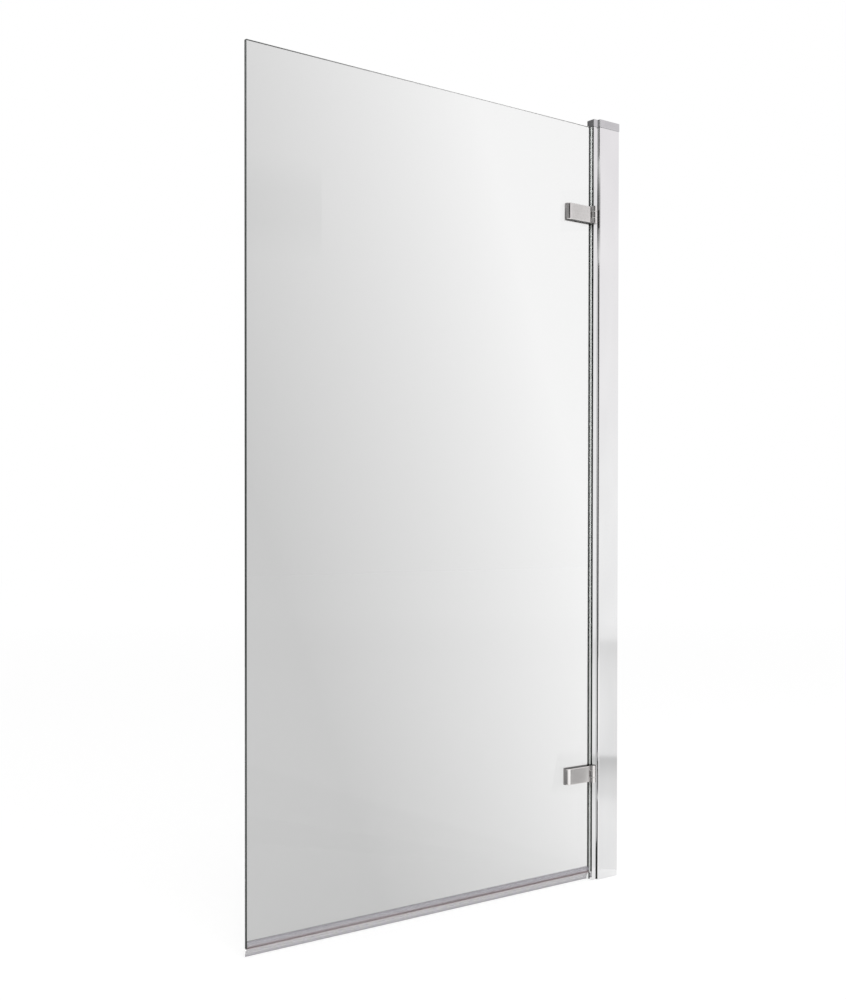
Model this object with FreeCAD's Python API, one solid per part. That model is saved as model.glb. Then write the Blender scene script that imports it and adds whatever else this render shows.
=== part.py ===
# Hinged bath screen: one pane of toughened glass on two clamp hinges.
#
# The hinges hang on a slim adjusting post, which slides in a wall channel to take up a wall
# that is out of true. A clear seal closes the gap between glass and post, and the fin of
# another under the glass wipes the rim of the bath.
#
# Frame, in millimetres: X runs along the closed pane towards the wall, whose face is X = 0.
# -Y is the dry side, where the hinge barrels stand and where the pane swings to.
# Z is up, and Z = 0 is the rim of the bath, on which the wall channel stands.
import FreeCAD
import Part

import math
import os

Vector = FreeCAD.Vector

# ---------------------------------------------------------------- driving sizes
# Pane
glass_width = 735.0
glass_height = 1400.0
glass_thickness = 6.0
glass_arris = 0.7
rim_gap = 15.0          # lower edge of the glass above the rim
edge_gap = 3.0          # glass edge to the nose of the post

# Wall channel, an aluminium extrusion with returned lips
frame_over = 13.0       # channel above the top of the glass
channel_depth = 50.0    # wall to mouth
channel_width = 24.0
channel_wall = 1.6
channel_web = 2.2       # the wall side
lip_thickness = 2.0
channel_corner = 1.8
centring_groove = 0.6   # V groove that centres the drill
rib_thickness = 1.5
rib_offsets = (5.5, 13.0)     # mouth to each guide rib
wall_hole_radius = 2.75
wall_hole_pitch = 400.0
wall_hole_count = 4

# Adjusting post, an aluminium extrusion that slides in the channel
post_width = 16.0
post_reach = 12.0       # nose to mouth with the post pushed home
post_wall = 1.6
nose_wall = 5.0
nose_corner = 0.6
slide_travel = 20.0
post_hold = 17.8        # left in the channel with the post drawn right out
flange_thickness = 1.8
slide_clearance = 0.3   # post in the mouth, and post flanges in the channel
guide_clearance = 0.15  # post on the guide ribs

# Groove in the nose, and the clear seal in it
groove_mouth = 3.2
groove_lip = 1.2
groove_width = 6.0
groove_depth = 2.0
seal_play = 0.2         # seal foot and neck in the groove
bulb_width = 6.4
bulb_wall = 0.7
bulb_gap = 0.3          # bulb to glass

# Side screws that lock the post in the channel
side_screw_end = 200.0        # first and last screw from the ends of the channel
side_screw_radius = 2.0
side_head_radius = 3.8
side_head_height = 2.4
nut_size = 10.0
nut_thickness = 3.0
nut_gap = 0.1
screw_tip = 1.5         # screw past its nut
slot_play = 0.3
cover_radius = 6.0
cover_height = 4.4
cover_wall = 1.0
cover_dome = 2.0        # rounding of the crown

# End caps
cap_wall = 1.2
cap_plate = 2.0
cap_skirt = 12.6        # skirt below the end of the channel
cap_gap = 0.4           # between the two caps with the post home
post_cap_drop = 0.8     # post cap below channel cap
tongue_gap = 0.2        # tongue of the post cap under the channel cap
tongue_inset = 0.5
spigot_depth = 10.0
spigot_wall = 1.5

# Hinges
hinge_from_top = 167.0        # centre of the upper hinge below the top of the glass
hinge_from_bottom = 188.0
plate_length = 67.0
plate_height = 30.0
outer_plate = 10.0
outer_nose = 8.5        # rounding of the free end
inner_plate = 4.0
inner_nose = 2.2
inner_short = 6.0       # free end of the inner plate inside that of the outer one
plate_edge = 1.2
gasket_thickness = 0.5
gasket_inset = 0.6
barrel_radius = 6.5
barrel_height = 32.0
middle_knuckle = 11.4
bush_flange = 0.75
knuckle_play = 0.05     # bush flange to moving knuckle
corner_gap = 0.9        # barrel to corner of the post
barrel_angle = 47.7     # bearing of the barrel from that corner, degrees from the post's face
bracket_play = 0.4      # fixed leaf to glass edge
swing_gap = 0.6         # fixed to moving metal around the barrel
knuckle_fillet = 0.8
pin_radius = 3.0
pin_recess = 0.4
pin_play = 0.05
bush_wall = 1.2
bush_rim_inset = 0.3
bracket_screw_radius = 2.0
bracket_screw_spread = 18.0
bracket_head_radius = 3.5
bracket_head_height = 2.4
thread_play = 0.05

# Clamp screws through the glass
clamp_screw_insets = (22.0, 48.0)     # from the hinge end of the plates
clamp_screw_radius = 3.0
clamp_head_radius = 5.8
clamp_head_sink = 0.3
clamp_thread_depth = 3.0
socket_size = 4.0       # across flats
socket_depth = 2.4
liner_wall = 1.8        # sleeve in the glass hole
liner_play = 0.1

# Seal under the glass, with one fin that sweeps under it to the wet side
clip_height = 11.5
clip_wall = 1.1
clip_base = 1.3
clip_flare = 0.5
fin_thickness = 1.0
fin_tip = 0.5
fin_sweep = 3.8         # fin tip past the centre of the glass
fin_bow = 2.1           # the fin's bow off a straight line, towards the wet side
fin_clearance = 1.8     # fin tip above the rim
seal_short = 1.0        # seal ends inside each end of the glass

# ---------------------------------------------------------------- places that follow
glass_top = rim_gap + glass_height
frame_height = glass_top + frame_over           # cut length of the channel
side_screw_heights = (side_screw_end, frame_height / 2, frame_height - side_screw_end)
mouth_x = -channel_depth
nose_x = mouth_x - post_reach
glass_right = nose_x - edge_gap
glass_left = glass_right - glass_width
post_half = post_width / 2
channel_half = channel_width / 2
channel_bore = channel_half - channel_wall      # half the width inside the channel
post_bore = post_half - post_wall               # half the width inside the post
post_inner_x = mouth_x + slide_travel + post_hold
side_screw_x = mouth_x + (rib_offsets[0] + rib_thickness + rib_offsets[1]) / 2
post_top = frame_height - tongue_gap - cap_plate
hinge_heights = {
    "upper": glass_top - hinge_from_top,
    "lower": rim_gap + hinge_from_bottom,
}
barrel_offset = barrel_radius + corner_gap
barrel_x = nose_x - barrel_offset * math.cos(math.radians(barrel_angle))
barrel_y = -post_half - barrel_offset * math.sin(math.radians(barrel_angle))
gasket_face = glass_thickness / 2 + gasket_thickness    # where a clamp plate meets its gasket
inner_face = gasket_face + inner_plate                  # wet face of the inner clamp plate
outer_face = gasket_face + outer_plate                  # dry face of the outer one, as a distance
plate_left = glass_right - plate_length
inner_left = plate_left + inner_short
knuckle_gap = bush_flange + knuckle_play
bush_radius = pin_radius + pin_play + bush_wall
leaf_left = glass_right + bracket_play          # glass side of the fixed leaf
clamp_screw_places = [glass_right - inset for inset in clamp_screw_insets]
liner_bore = clamp_screw_radius + liner_play
liner_radius = liner_bore + liner_wall
glass_hole_radius = liner_radius + liner_play


# ---------------------------------------------------------------- small tools
def box(x0, x1, y0, y1, z0, z1):
    """A block between two corners."""
    return Part.makeBox(x1 - x0, y1 - y0, z1 - z0, Vector(x0, y0, z0))


def prism(points, z0, z1):
    """An outline of (x, y) corners pulled up from z0 to z1."""
    corners = [Vector(x, y, z0) for x, y in points]
    outline = Part.makePolygon(corners + corners[:1])
    return Part.Face(outline).extrude(Vector(0, 0, z1 - z0))


def rod(radius, start, direction, length):
    return Part.makeCylinder(radius, length, start, direction)


def round_upright(shape, places, radius):
    """Rounds the upright edges that stand at these (x, y) places."""
    edges = [
        edge for edge in shape.Edges
        if abs(edge.tangentAt(edge.FirstParameter).z) > 0.999
        and any(
            math.hypot(edge.Vertexes[0].X - x, edge.Vertexes[0].Y - y) < 0.01
            for x, y in places
        )
    ]
    return shape.makeFillet(radius, edges)


def round_at(shape, radius, chosen):
    """Rounds the edges whose middle satisfies chosen(point)."""
    return shape.makeFillet(radius, [e for e in shape.Edges if chosen(e.CenterOfMass)])


# ---------------------------------------------------------------- wall frame
def wall_channel():
    """C section with returned lips, two guide ribs a side, and holes for the wall screws."""
    mouth = post_half + slide_clearance
    outline = [
        (mouth_x, -channel_half), (0, -channel_half), (0, channel_half), (mouth_x, channel_half),
        (mouth_x, mouth), (mouth_x + lip_thickness, mouth),
        (mouth_x + lip_thickness, channel_bore), (-channel_web, channel_bore),
        (-channel_web, centring_groove), (-channel_web + centring_groove, 0),
        (-channel_web, -centring_groove), (-channel_web, -channel_bore),
        (mouth_x + lip_thickness, -channel_bore), (mouth_x + lip_thickness, -mouth),
        (mouth_x, -mouth),
    ]
    shape = prism(outline, 0, frame_height)
    corners = [(mouth_x, -channel_half), (mouth_x, channel_half)]
    shape = round_upright(shape, corners, min(channel_corner, 0.9 * lip_thickness))
    rib_face = post_half + guide_clearance
    for offset in rib_offsets:
        rib_x = mouth_x + offset
        for low, high in ((-channel_bore, -rib_face), (rib_face, channel_bore)):
            rib = box(rib_x, rib_x + rib_thickness, low, high, 0, frame_height)
            shape = shape.fuse(rib)
    for height in wall_hole_heights():
        start = Vector(-2 * channel_web, 0, height)
        shape = shape.cut(rod(wall_hole_radius, start, Vector(1, 0, 0), 3 * channel_web))
    for height in side_screw_heights:
        start = Vector(side_screw_x, post_half, height)
        shape = shape.cut(rod(side_screw_radius + thread_play, start, Vector(0, 1, 0), channel_half))
    return shape.removeSplitter()


def wall_hole_heights():
    middle = frame_height / 2
    first = middle - wall_hole_pitch * (wall_hole_count - 1) / 2
    return [first + wall_hole_pitch * i for i in range(wall_hole_count)]


def channel_cap():
    """Moulded cap over the end of the channel, open at the mouth for the post."""
    outer_half = channel_half + cap_wall
    left = mouth_x - cap_wall
    low = frame_height - cap_skirt
    top = frame_height + cap_plate
    shape = box(left, 0, -outer_half, outer_half, low, top)
    corners = [(left, -outer_half), (left, outer_half)]
    shape = round_upright(shape, corners, channel_corner + cap_wall / 2)
    shape = round_at(
        shape, cap_plate / 3, lambda p: abs(p.z - top) < 0.01 and p.x < -0.01
    )
    shape = shape.cut(box(mouth_x, 1, -channel_half, channel_half, low - 1, frame_height))
    mouth = post_half + tongue_inset
    return shape.cut(box(left - 1, mouth_x + 1, -mouth, mouth, low - 1, frame_height))


def side_screws():
    """Pan-head screws through the wet side of the channel, each into a nut inside the post."""
    length = channel_half - post_bore + nut_gap + nut_thickness + screw_tip
    screws = []
    for height in side_screw_heights:
        seat = Vector(side_screw_x, channel_half, height)
        shank = rod(side_screw_radius, seat, Vector(0, -1, 0), length)
        head = rod(side_head_radius, seat, Vector(0, 1, 0), side_head_height)
        rim = seat + Vector(0, side_head_height, 0)
        rims = [e for e in head.Edges if abs(e.CenterOfMass.y - rim.y) < 0.01]
        head = head.makeChamfer(side_head_height / 3, rims)
        half, depth = side_head_radius * 0.55, side_head_height * 0.6
        blade = side_head_radius * 0.14
        for across, up in ((half, blade), (blade, half)):
            head = head.cut(box(
                side_screw_x - across, side_screw_x + across, rim.y - depth, rim.y + 1,
                height - up, height + up,
            ))
        screws.append(shank.fuse(head).removeSplitter())
    return Part.makeCompound(screws)


def clamp_nuts():
    """Square nuts behind the slots of the post. The screws draw the post against the channel."""
    far = post_bore - nut_gap - nut_thickness
    nuts = []
    for height in side_screw_heights:
        nut = box(
            side_screw_x - nut_size / 2, side_screw_x + nut_size / 2,
            far, far + nut_thickness, height - nut_size / 2, height + nut_size / 2,
        )
        hole = rod(
            side_screw_radius + thread_play, Vector(side_screw_x, far - 1, height),
            Vector(0, 1, 0), nut_thickness + 2,
        )
        nuts.append(nut.cut(hole))
    return Part.makeCompound(nuts)


def side_screw_covers():
    """Domed push-on covers over the heads of the side screws."""
    out = Vector(0, 1, 0)
    crown = channel_half + cover_height
    roof = crown - cover_wall
    covers = []
    for height in side_screw_heights:
        seat = Vector(side_screw_x, channel_half, height)
        outer = rod(cover_radius, seat, out, cover_height)
        outer = round_at(outer, cover_dome, lambda p: abs(p.y - crown) < 0.01)
        pocket = rod(cover_radius - cover_wall, seat, out, cover_height - cover_wall)
        pocket = round_at(pocket, cover_dome - cover_wall / 2, lambda p: abs(p.y - roof) < 0.01)
        covers.append(outer.cut(pocket))
    return Part.makeCompound(covers)


# ---------------------------------------------------------------- adjusting post
def adjusting_post():
    """U section, open to the wall, with a seal groove in its nose and slots for the side screws."""
    lip_x = nose_x + groove_lip
    floor_x = lip_x + groove_depth
    inside_x = nose_x + nose_wall
    flange_x = post_inner_x - flange_thickness
    flange_half = channel_bore - slide_clearance
    front = [
        (nose_x, -post_half), (flange_x, -post_half), (flange_x, -flange_half),
        (post_inner_x, -flange_half), (post_inner_x, -post_bore), (inside_x, -post_bore),
    ]
    back = [(x, -y) for x, y in reversed(front)]
    groove = [
        (nose_x, groove_mouth / 2), (lip_x, groove_mouth / 2), (lip_x, groove_width / 2),
        (floor_x, groove_width / 2),
    ]
    groove += [(x, -y) for x, y in reversed(groove)]
    shape = prism(front + back + groove, 0, post_top)
    shape = round_upright(shape, [(nose_x, -post_half), (nose_x, post_half)], nose_corner)

    half = side_screw_radius + slot_play
    for height in side_screw_heights:
        near = side_screw_x
        slot = box(near, near + slide_travel, post_bore - 0.5, post_half + 0.5,
                   height - half, height + half)
        for end in (near, near + slide_travel):
            slot = slot.fuse(rod(half, Vector(end, post_bore - 0.5, height), Vector(0, 1, 0),
                                 post_wall + 1))
        shape = shape.cut(slot)
    for height in hinge_heights.values():
        for screw_z in bracket_screw_heights(height):
            start = Vector(nose_x - 1, 0, screw_z)
            shape = shape.cut(rod(bracket_screw_radius + thread_play, start, Vector(1, 0, 0),
                                  nose_wall + 2))
    return shape.removeSplitter()


def bracket_screw_heights(height):
    return [height - bracket_screw_spread / 2, height + bracket_screw_spread / 2]


def post_cap():
    """Moulded cap on the nose of the post, with a tongue that closes the hollow inside the channel."""
    outer_half = post_half + cap_wall
    left = nose_x - cap_wall
    right = mouth_x - cap_wall - cap_gap
    low = frame_height - cap_skirt
    top = frame_height + cap_plate - post_cap_drop
    shape = box(left, right, -outer_half, outer_half, low, top)
    shape = round_upright(shape, [(left, -outer_half), (left, outer_half)],
                          nose_corner + cap_wall / 2)
    shape = round_at(
        shape, cap_plate / 3, lambda p: abs(p.z - top) < 0.01 and p.x < right - 0.01
    )
    shape = shape.cut(box(nose_x, right + 1, -post_half, post_half, low - 1, post_top))
    tongue_half = post_half - tongue_inset
    shape = shape.fuse(
        box(right - 1, post_inner_x, -tongue_half, tongue_half, post_top, post_top + cap_plate)
    )
    inside_x = nose_x + nose_wall + seal_play
    for low_y in (-post_bore + seal_play, post_bore - seal_play - spigot_wall):
        shape = shape.fuse(box(inside_x, mouth_x, low_y, low_y + spigot_wall,
                               post_top - spigot_depth, post_top))
    return shape.removeSplitter()


def side_seal(z0, z1):
    """Clear seal: a foot in the groove of the nose, and a hollow bulb that faces the glass edge."""
    foot_left = nose_x + groove_lip
    foot_right = foot_left + groove_depth - seal_play
    foot_half = groove_width / 2 - seal_play
    neck_half = groove_mouth / 2 - seal_play
    bulb_half = bulb_width / 2
    crown = nose_x - edge_gap + bulb_gap
    corners = [
        Vector(nose_x, bulb_half, z0), Vector(nose_x, neck_half, z0),
        Vector(foot_left, neck_half, z0), Vector(foot_left, foot_half, z0),
        Vector(foot_right, foot_half, z0), Vector(foot_right, -foot_half, z0),
        Vector(foot_left, -foot_half, z0), Vector(foot_left, -neck_half, z0),
        Vector(nose_x, -neck_half, z0), Vector(nose_x, -bulb_half, z0),
    ]
    skin = Part.Arc(corners[-1], Vector(crown, 0, z0), corners[0]).toShape()
    outline = Part.Wire([*Part.makePolygon(corners).Edges, skin])
    hollow_half = bulb_half - 1.6 * bulb_wall
    back_x = nose_x - bulb_wall
    ends = Vector(back_x, -hollow_half, z0), Vector(back_x, hollow_half, z0)
    vault = Part.Arc(ends[0], Vector(crown + bulb_wall, 0, z0), ends[1]).toShape()
    hollow = Part.Wire([vault, Part.makeLine(ends[1], ends[0])])
    length = Vector(0, 0, z1 - z0)
    return Part.Face(outline).extrude(length).cut(Part.Face(hollow).extrude(length))


def side_seal_spans():
    """The three lengths of the side seal, cut to run between the hinge leaves."""
    half = barrel_height / 2
    ends = [rim_gap]
    for height in sorted(hinge_heights.values()):
        ends += [height - half, height + half]
    ends.append(frame_height - cap_skirt - cap_gap)
    return {"lower": ends[0:2], "middle": ends[2:4], "upper": ends[4:6]}


# ---------------------------------------------------------------- hinges
def hinge_bracket(height):
    """Fixed half: a thin leaf on the nose of the post, which curls round into the middle knuckle."""
    half = plate_height / 2
    reach = barrel_radius + swing_gap
    front = barrel_y + math.sqrt(max(reach ** 2 - (leaf_left - barrel_x) ** 2, 0))
    leaf = box(leaf_left, nose_x, front, post_half, height - half, height + half)
    leaf = round_at(
        leaf, edge_gap / 2, lambda p: abs(p.y - post_half) < 0.01 and abs(p.z - height) > half - 0.01
    )
    key_half = groove_mouth / 2 - seal_play
    key = box(nose_x, nose_x + groove_lip, -key_half, key_half, height - half, height + half)
    low = height - middle_knuckle / 2
    neck = prism(
        [(leaf_left, front), (nose_x, front), (nose_x, barrel_y), (barrel_x, barrel_y),
         (leaf_left, barrel_y + barrel_radius / 2)],
        low, low + middle_knuckle,
    )
    knuckle = rod(barrel_radius, Vector(barrel_x, barrel_y, low), Vector(0, 0, 1), middle_knuckle)
    shape = leaf.fuse([key, neck, knuckle]).removeSplitter()
    bore = rod(bush_radius, Vector(barrel_x, barrel_y, low - 1), Vector(0, 0, 1),
               middle_knuckle + 2)
    shape = shape.cut(bore)
    for screw_z in bracket_screw_heights(height):
        hole = rod(bracket_screw_radius + thread_play, Vector(leaf_left - 1, 0, screw_z),
                   Vector(1, 0, 0), edge_gap + groove_lip + 2)
        shape = shape.cut(hole)
    return shape


def bracket_screws(height):
    """Two screws from inside the post, through the floor of the groove into the fixed leaf."""
    seat = nose_x + nose_wall
    screws = []
    for screw_z in bracket_screw_heights(height):
        start = Vector(leaf_left + 0.3, 0, screw_z)
        shank = rod(bracket_screw_radius, start, Vector(1, 0, 0), seat - start.x)
        head = rod(bracket_head_radius, Vector(seat, 0, screw_z), Vector(1, 0, 0),
                   bracket_head_height)
        top = seat + bracket_head_height
        rims = [e for e in head.Edges if abs(e.CenterOfMass.x - top) < 0.01]
        head = head.makeChamfer(bracket_head_height / 3, rims)
        screws.append(shank.fuse(head).removeSplitter())
    return Part.makeCompound(screws)


def hinge_bushes(height):
    """Two flanged bushes in the middle knuckle. Their flanges are the rings between knuckles."""
    bushes = []
    for side in (-1, 1):
        face = height + side * middle_knuckle / 2
        up = Vector(0, 0, side)
        sleeve = rod(bush_radius, Vector(barrel_x, barrel_y, height), up, middle_knuckle / 2)
        flange = rod(barrel_radius - bush_rim_inset, Vector(barrel_x, barrel_y, face), up,
                     bush_flange)
        bore = rod(pin_radius + pin_play, Vector(barrel_x, barrel_y, height - side), up,
                   barrel_height)
        bushes.append(sleeve.fuse(flange).cut(bore).removeSplitter())
    return Part.makeCompound(bushes)


def hinge_leaf(height):
    """Moving half: the outer clamp plate, with two arms that rise into the end knuckles."""
    half = plate_height / 2
    shape = box(plate_left, glass_right, -outer_face, -gasket_face, height - half, height + half)
    shape = round_at(
        shape, outer_nose,
        lambda p: abs(p.x - plate_left) < 0.01 and abs(p.y + outer_face) < 0.01,
    )
    shape = round_at(
        shape, plate_edge,
        lambda p: abs(p.y + outer_face) < 0.01 and abs(p.z - height) > half - 0.01,
    )
    # a fillet, tangent to the plate and to the barrel, carries each arm up into its knuckle
    fillet_y = -outer_face - knuckle_fillet
    apart = barrel_radius + knuckle_fillet
    fillet_x = barrel_x - math.sqrt(apart ** 2 - (barrel_y - fillet_y) ** 2)
    share = barrel_radius / apart
    touch = Vector(barrel_x + (fillet_x - barrel_x) * share,
                   barrel_y + (fillet_y - barrel_y) * share, 0)
    foot = Vector(fillet_x, -outer_face, 0)
    centre = Vector(fillet_x, fillet_y, 0)
    bisector = ((foot - centre) + (touch - centre)).normalize()
    corners = [touch, Vector(barrel_x, barrel_y, 0), Vector(barrel_x, -gasket_face - 1, 0),
               Vector(fillet_x, -gasket_face - 1, 0), foot]
    fillet = Part.Arc(foot, centre + bisector * knuckle_fillet, touch).toShape()
    web = Part.Face(Part.Wire([*Part.makePolygon(corners).Edges, fillet]))
    inner = middle_knuckle / 2 + knuckle_gap
    window = box(barrel_x - barrel_radius - swing_gap, glass_right + 1, -outer_face - 1,
                 -gasket_face + 1, height - inner, height + inner)
    window = round_at(
        window, swing_gap,
        lambda p: p.x < barrel_x - barrel_radius and abs(p.z - height) > inner - 0.01,
    )
    shape = shape.cut(window)
    for side in (-1, 1):
        face = height + side * inner
        arm = web.extrude(Vector(0, 0, side * (half - inner)))
        arm.translate(Vector(0, 0, face))
        knuckle = rod(barrel_radius, Vector(barrel_x, barrel_y, face), Vector(0, 0, side),
                      barrel_height / 2 - inner)
        shape = shape.fuse([arm, knuckle])
    shape = shape.removeSplitter()
    bore = rod(pin_radius, Vector(barrel_x, barrel_y, height - barrel_height), Vector(0, 0, 1),
               2 * barrel_height)
    shape = shape.cut(bore)
    for screw_x in clamp_screw_places:
        thread = rod(clamp_screw_radius + thread_play, Vector(screw_x, -gasket_face, height),
                     Vector(0, -1, 0), clamp_thread_depth + thread_play)
        shape = shape.cut(thread)
    return shape


def hinge_pin(height):
    """Pin through the three knuckles, held by the moving ones."""
    length = barrel_height - 2 * pin_recess
    pin = rod(pin_radius, Vector(barrel_x, barrel_y, height - length / 2), Vector(0, 0, 1), length)
    ends = [e for e in pin.Edges if abs(e.CenterOfMass.z - height) > length / 2 - 0.01]
    return pin.makeChamfer(pin_recess, ends)


def clamp_plate(height):
    """Inner clamp plate, on the wet side, countersunk for the two clamp screws."""
    half = plate_height / 2
    shape = box(inner_left, glass_right, gasket_face, inner_face, height - half, height + half)
    shape = round_at(
        shape, inner_nose,
        lambda p: abs(p.x - inner_left) < 0.01 and abs(p.y - inner_face) < 0.01,
    )
    shape = round_at(
        shape, plate_edge,
        lambda p: abs(p.y - inner_face) < 0.01 and abs(p.z - height) > half - 0.01,
    )
    for screw_x in clamp_screw_places:
        shape = shape.cut(clamp_screw_body(screw_x, height, thread_play, 2 * inner_plate))
    return shape


def clamp_screw_body(screw_x, height, play, beyond):
    """A countersunk screw from the wet side. With play it is the hole that the screw needs."""
    head_face = inner_face - clamp_head_sink
    radius = clamp_screw_radius + play
    cone_depth = clamp_head_radius - clamp_screw_radius
    out = Vector(0, 1, 0)
    tip = -gasket_face - clamp_thread_depth
    shank = rod(radius, Vector(screw_x, tip, height), out, head_face - tip)
    cone = Part.makeCone(
        clamp_screw_radius, clamp_head_radius, cone_depth,
        Vector(screw_x, head_face - cone_depth, height), out,
    )
    shape = shank.fuse(cone)
    if play:
        shape = shape.fuse(rod(clamp_head_radius, Vector(screw_x, head_face, height), out, beyond))
    return shape.removeSplitter()


def clamp_screws(height):
    """Countersunk socket screws through the inner plate and the glass, into the outer plate."""
    screws = []
    head_face = inner_face - clamp_head_sink
    flat = socket_size / math.sqrt(3)       # centre to corner of the hexagon
    for screw_x in clamp_screw_places:
        corners = [
            Vector(screw_x + flat * math.cos(math.radians(60 * i)), head_face - socket_depth,
                   height + flat * math.sin(math.radians(60 * i)))
            for i in range(6)
        ]
        socket = Part.Face(Part.makePolygon(corners + corners[:1]))
        socket = socket.extrude(Vector(0, socket_depth + 1, 0))
        screws.append(clamp_screw_body(screw_x, height, 0, 0).cut(socket))
    return Part.makeCompound(screws)


def gasket(height, side):
    """Thin pad between a clamp plate and the glass. side is -1 for the outer, 1 for the inner."""
    near, far = sorted((side * glass_thickness / 2, side * gasket_face))
    half = plate_height / 2 - gasket_inset
    left = plate_left if side < 0 else inner_left
    shape = box(left + gasket_inset, glass_right - gasket_inset, near, far,
                height - half, height + half)
    if side < 0:
        inner = middle_knuckle / 2 + knuckle_gap + gasket_inset
        shape = shape.cut(box(barrel_x - barrel_radius - swing_gap - gasket_inset,
                              glass_right, near - 1, far + 1, height - inner, height + inner))
    for screw_x in clamp_screw_places:
        hole = rod(liner_bore, Vector(screw_x, near - 1, height), Vector(0, 1, 0),
                   gasket_thickness + 2)
        shape = shape.cut(hole)
    return shape


def hole_liners(height):
    """Sleeves that keep the clamp screws off the glass."""
    liners = []
    for screw_x in clamp_screw_places:
        start = Vector(screw_x, -glass_thickness / 2, height)
        liner = rod(liner_radius, start, Vector(0, 1, 0), glass_thickness)
        liners.append(liner.cut(rod(liner_bore, start, Vector(0, 1, 0), glass_thickness)))
    return Part.makeCompound(liners)


# ---------------------------------------------------------------- pane
def glass_pane():
    """Toughened pane with ground arrises, drilled for the clamp screws."""
    half = glass_thickness / 2
    shape = box(glass_left, glass_right, -half, half, rim_gap, glass_top)
    shape = shape.makeChamfer(glass_arris, shape.Edges)
    for height in hinge_heights.values():
        for screw_x in clamp_screw_places:
            hole = rod(glass_hole_radius, Vector(screw_x, -half - 1, height), Vector(0, 1, 0),
                       glass_thickness + 2)
            shape = shape.cut(hole)
    return shape


def drip_seal():
    """Clear seal pushed on the lower edge: a clip, and a fin swept under it to the wet side."""
    def at(y, z):
        return Vector(glass_left + seal_short, y, rim_gap + z)

    length = Vector(glass_width - 2 * seal_short, 0, 0)
    inner = glass_thickness / 2
    outer = inner + clip_wall
    clip = [
        at(inner, 0), at(inner, clip_height - clip_flare), at(inner + clip_flare, clip_height),
        at(outer + clip_flare / 2, clip_height - clip_flare), at(outer, clip_height - 3 * clip_flare),
        at(outer, -clip_base),
    ]
    mirrored = [Vector(p.x, -p.y, p.z) for p in reversed(clip)]
    corners = clip + mirrored
    shape = Part.Face(Part.makePolygon(corners + corners[:1])).extrude(length)

    drop = rim_gap - fin_clearance      # glass edge to the tip of the fin
    root = at(-outer, -clip_base / 2)
    tip = at(fin_sweep - fin_tip, -drop)
    middle = (root + tip) * 0.5 + Vector(0, fin_bow, fin_bow * 0.6)
    inner_root = at(fin_thickness - outer, -clip_base / 2)
    inner_tip = at(fin_sweep, -drop)
    inner_middle = middle + Vector(0, fin_thickness * 0.8, fin_thickness * 0.5)
    fin = Part.Wire([
        Part.Arc(root, middle, tip).toShape(), Part.makeLine(tip, inner_tip),
        Part.Arc(inner_tip, inner_middle, inner_root).toShape(),
        Part.makeLine(inner_root, root),
    ])
    return shape.fuse(Part.Face(fin).extrude(length)).removeSplitter()


# ---------------------------------------------------------------- nodes
def build():
    """Every node of the screen by name."""
    nodes = {
        "wall_channel": wall_channel(),
        "channel_cap": channel_cap(),
        "side_screws": side_screws(),
        "clamp_nuts": clamp_nuts(),
        "side_screw_covers": side_screw_covers(),
        "adjusting_post": adjusting_post(),
        "post_cap": post_cap(),
        "glass_pane": glass_pane(),
        "drip_seal": drip_seal(),
    }
    for place, (z0, z1) in side_seal_spans().items():
        nodes[f"side_seal_{place}"] = side_seal(z0, z1)
    for place, height in hinge_heights.items():
        nodes[f"{place}_hinge_bracket"] = hinge_bracket(height)
        nodes[f"{place}_bracket_screws"] = bracket_screws(height)
        nodes[f"{place}_hinge_bushes"] = hinge_bushes(height)
        nodes[f"{place}_hinge_leaf"] = hinge_leaf(height)
        nodes[f"{place}_hinge_pin"] = hinge_pin(height)
        nodes[f"{place}_clamp_plate"] = clamp_plate(height)
        nodes[f"{place}_clamp_screws"] = clamp_screws(height)
        nodes[f"{place}_outer_gasket"] = gasket(height, -1)
        nodes[f"{place}_inner_gasket"] = gasket(height, 1)
        nodes[f"{place}_hole_liners"] = hole_liners(height)
    return nodes


os.makedirs("parts", exist_ok=True)
for name, shape in build().items():
    valid = shape.isValid() and all(solid.Volume > 0 for solid in shape.Solids)
    print(f"{name}: {len(shape.Solids)} solids, {shape.Volume / 1000:.2f} cm3, valid {valid}")
    shape.exportStep(f"parts/{name}.step")
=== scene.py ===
import math

import bmesh
import bpy
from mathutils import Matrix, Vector
from mathutils.geometry import tessellate_polygon


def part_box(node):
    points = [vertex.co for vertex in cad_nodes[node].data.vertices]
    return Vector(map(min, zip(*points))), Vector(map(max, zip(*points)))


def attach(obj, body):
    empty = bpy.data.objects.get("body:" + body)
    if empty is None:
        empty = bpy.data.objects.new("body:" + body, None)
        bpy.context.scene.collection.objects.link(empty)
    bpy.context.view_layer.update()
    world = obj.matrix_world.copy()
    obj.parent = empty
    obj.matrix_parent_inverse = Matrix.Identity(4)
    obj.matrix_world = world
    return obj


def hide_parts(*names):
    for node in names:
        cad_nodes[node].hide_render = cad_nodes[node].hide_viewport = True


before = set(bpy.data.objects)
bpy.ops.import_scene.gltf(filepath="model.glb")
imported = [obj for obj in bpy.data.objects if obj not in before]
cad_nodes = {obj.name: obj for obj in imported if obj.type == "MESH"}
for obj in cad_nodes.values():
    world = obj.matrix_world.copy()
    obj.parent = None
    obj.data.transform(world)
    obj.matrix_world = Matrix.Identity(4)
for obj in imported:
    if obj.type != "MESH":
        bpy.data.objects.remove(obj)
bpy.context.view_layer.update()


# ---- Wall channel and adjusting post ----
# Two extruded aluminium sections, bright polished and anodised: the wide one is screwed to the
# wall, and the narrow one slides in it to take up the width. The polish keeps faint die lines.

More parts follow.
